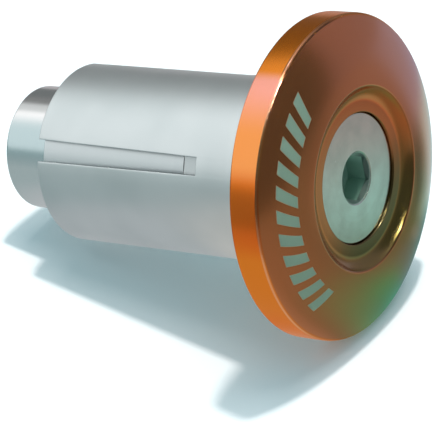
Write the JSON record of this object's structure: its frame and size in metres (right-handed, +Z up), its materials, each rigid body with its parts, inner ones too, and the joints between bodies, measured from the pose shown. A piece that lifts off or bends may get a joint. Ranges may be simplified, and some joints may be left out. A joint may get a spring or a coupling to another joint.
{
  "type": "bar end weight",
  "caption": "Expanding handlebar end weight: a domed anodised cap on a split sleeve, with a taper nut inside that a countersunk socket screw draws up.",
  "frame": {"origin": "centre of the cap's back face, where it meets the end of the bar", "axes": "+X along the bar's axis out of the bar, towards the domed face; +Z up"},
  "size_m": [0.0375, 0.03, 0.03],
  "materials": {
    "orange_anodised": "gloss dyed anodising over a turned face",
    "plated_steel": "bright plating, slightly dulled",
    "satin_aluminium": "satin, bare",
    "turned_aluminium": "bright turned, bare"
  },
  "bodies": {
    "plug": {"end_cap": "orange_anodised", "split_sleeve": "satin_aluminium"},
    "screw": {"clamp_screw": "plated_steel"},
    "nut": {"taper_nut": "turned_aluminium"}
  },
  "joints": [
    {"name": "screw_turn", "type": "hinge", "parent": "plug", "child": "screw", "pos_m": [0, 0, 0], "axis": [1, 0, 0], "range_deg": [0, 2250]},
    {"name": "nut_slide", "type": "slide", "parent": "plug", "child": "nut", "axis": [-1, 0, 0], "range_m": [0, 0.00625]}
  ],
  "couplings": [
    {"joint": "screw_turn", "follows": "nut_slide", "rad_per_m": 6283.2}
  ]
}
